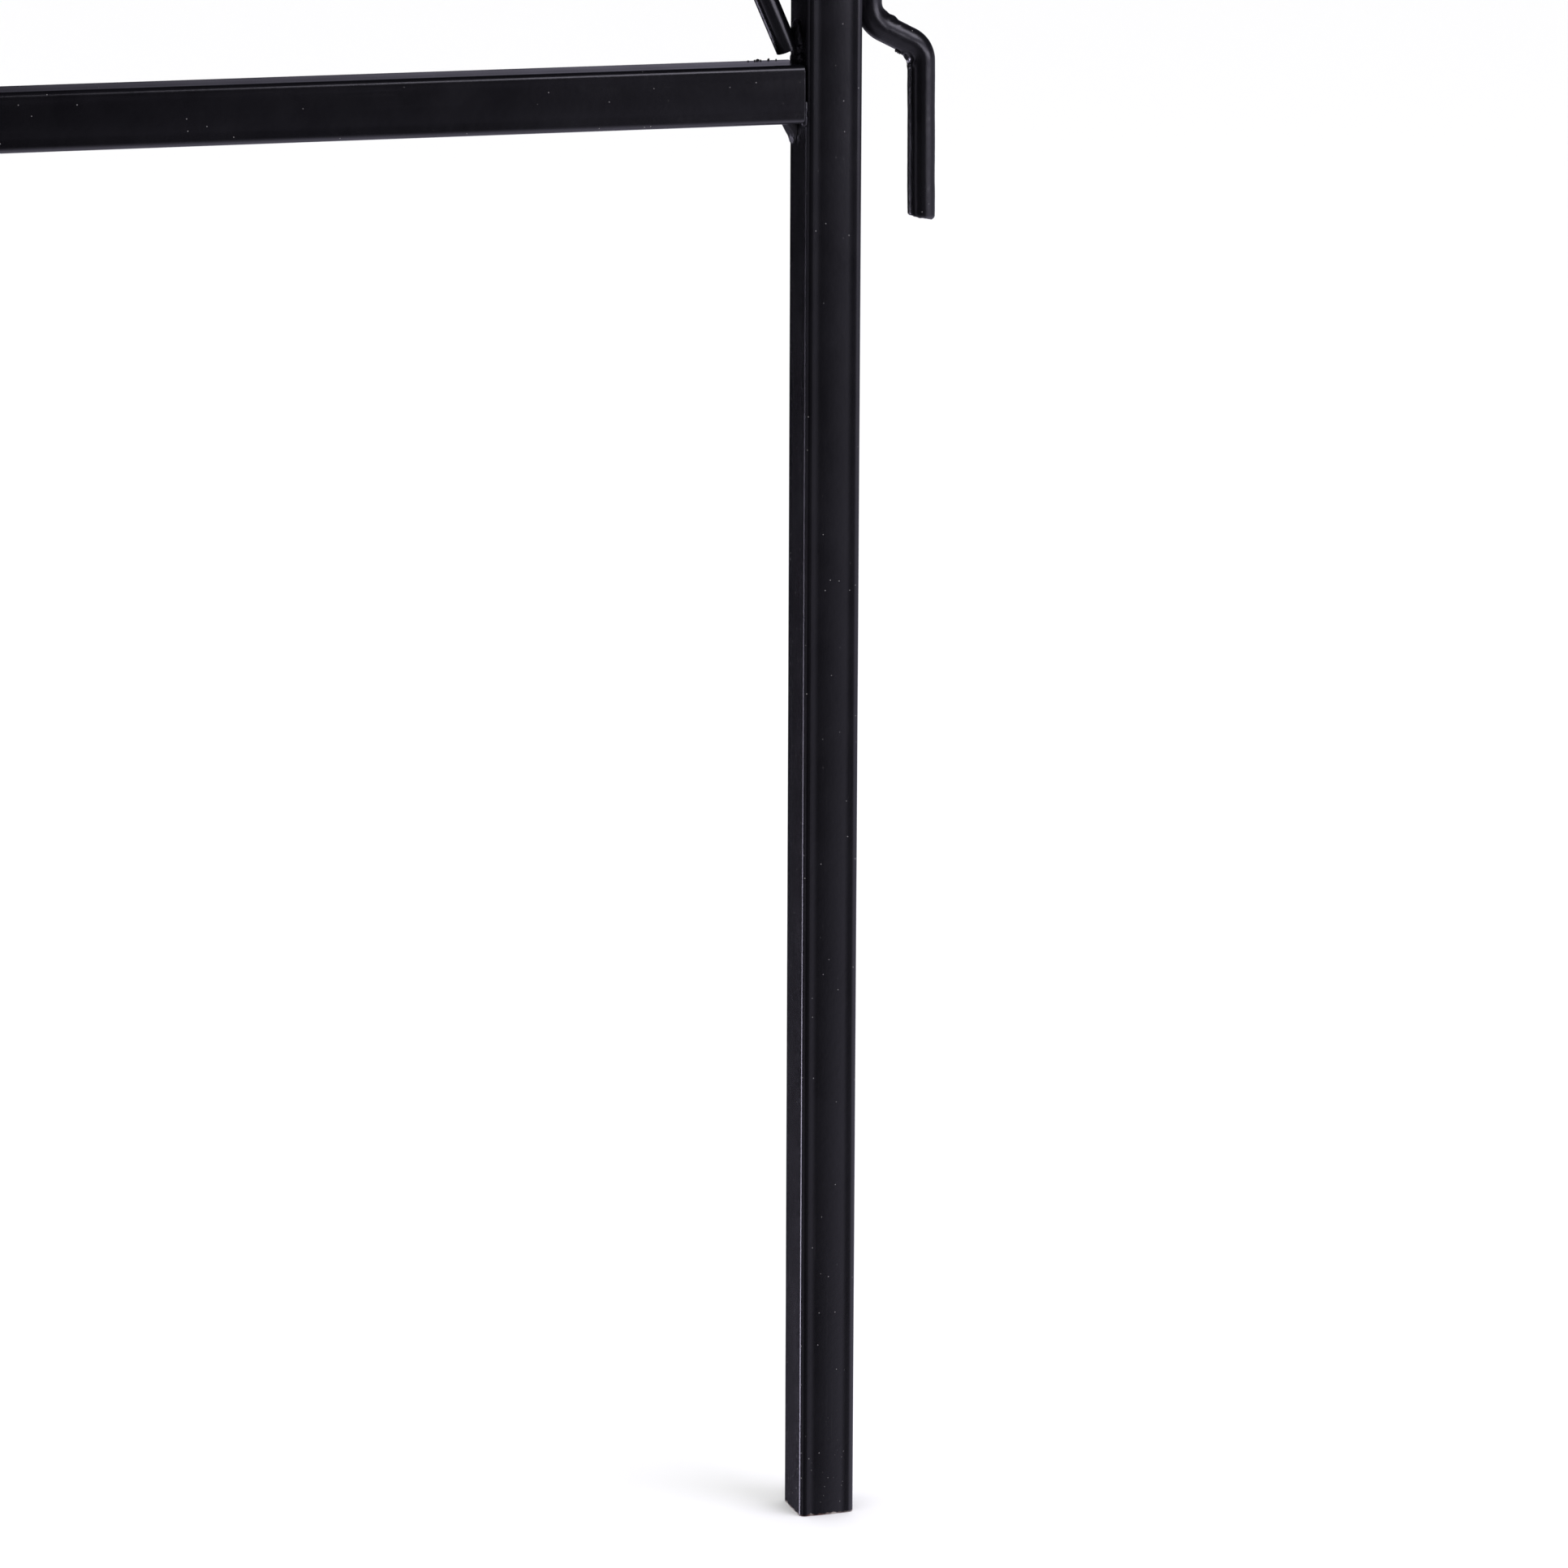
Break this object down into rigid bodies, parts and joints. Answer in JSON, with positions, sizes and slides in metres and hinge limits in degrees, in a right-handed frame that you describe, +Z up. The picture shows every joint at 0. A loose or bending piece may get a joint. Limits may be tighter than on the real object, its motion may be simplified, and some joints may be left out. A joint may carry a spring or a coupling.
{
  "type": "hanging file rack",
  "caption": "Free-standing knock-down rack of black square tube whose frames drop together with hooks and eyes to hang suspension files.",
  "frame": {"origin": "centre of the assembled outline on the floor, midway between its left and right and its front and back", "axes": "+X to the right side with the coupling hooks, +Y from the front frame to the rear stand, +Z up"},
  "size_m": [0.7278, 0.403, 0.862],
  "materials": {
    "black_powder_coat": "satin black powder coat on steel",
    "weld_paint": "powder coat over weld beads",
    "cap_plastic": "moulded black polyethylene"
  },
  "bodies": {
    "front_frame": {"bottom_rail": "black_powder_coat", "brace_welds": "weld_paint", "eye_welds": "weld_paint", "hook_welds": "weld_paint", "left_brace": "black_powder_coat", "left_file_eye": "black_powder_coat", "left_post": "black_powder_coat", "left_post_cap": "cap_plastic", "lower_coupling_eye": "black_powder_coat", "lower_coupling_hook": "black_powder_coat", "rail_welds": "weld_paint", "right_brace": "black_powder_coat", "right_file_eye": "black_powder_coat", "right_post": "black_powder_coat", "right_post_cap": "cap_plastic", "top_rail": "black_powder_coat", "upper_coupling_eye": "black_powder_coat", "upper_coupling_hook": "black_powder_coat"},
    "file_frame": {"file_frame_welds": "weld_paint", "front_file_rail": "black_powder_coat", "left_front_file_hook": "black_powder_coat", "left_rear_file_hook": "black_powder_coat", "left_side_bar": "black_powder_coat", "left_side_bar_front_cap": "cap_plastic", "left_side_bar_rear_cap": "cap_plastic", "rear_file_rail": "black_powder_coat", "right_front_file_hook": "black_powder_coat", "right_rear_file_hook": "black_powder_coat", "right_side_bar": "black_powder_coat", "right_side_bar_front_cap": "cap_plastic", "right_side_bar_rear_cap": "cap_plastic"},
    "rear_stand": {"head_bar": "black_powder_coat", "left_head_bar_cap": "cap_plastic", "left_rear_brace": "black_powder_coat", "left_rear_eye": "black_powder_coat", "rear_leg": "black_powder_coat", "rear_stand_welds": "weld_paint", "right_head_bar_cap": "cap_plastic", "right_rear_brace": "black_powder_coat", "right_rear_eye": "black_powder_coat"}
  },
  "joints": [
    {"name": "file_lift", "type": "slide", "parent": "front_frame", "child": "file_frame", "axis": [0, 0, 1], "range_m": [0, 0.055]},
    {"name": "stand_drop", "type": "slide", "parent": "file_frame", "child": "rear_stand", "axis": [0, 0, -1], "range_m": [0, 0.055]}
  ],
  "couplings": [
    {"joint": "stand_drop", "follows": "file_lift", "ratio": 1}
  ]
}
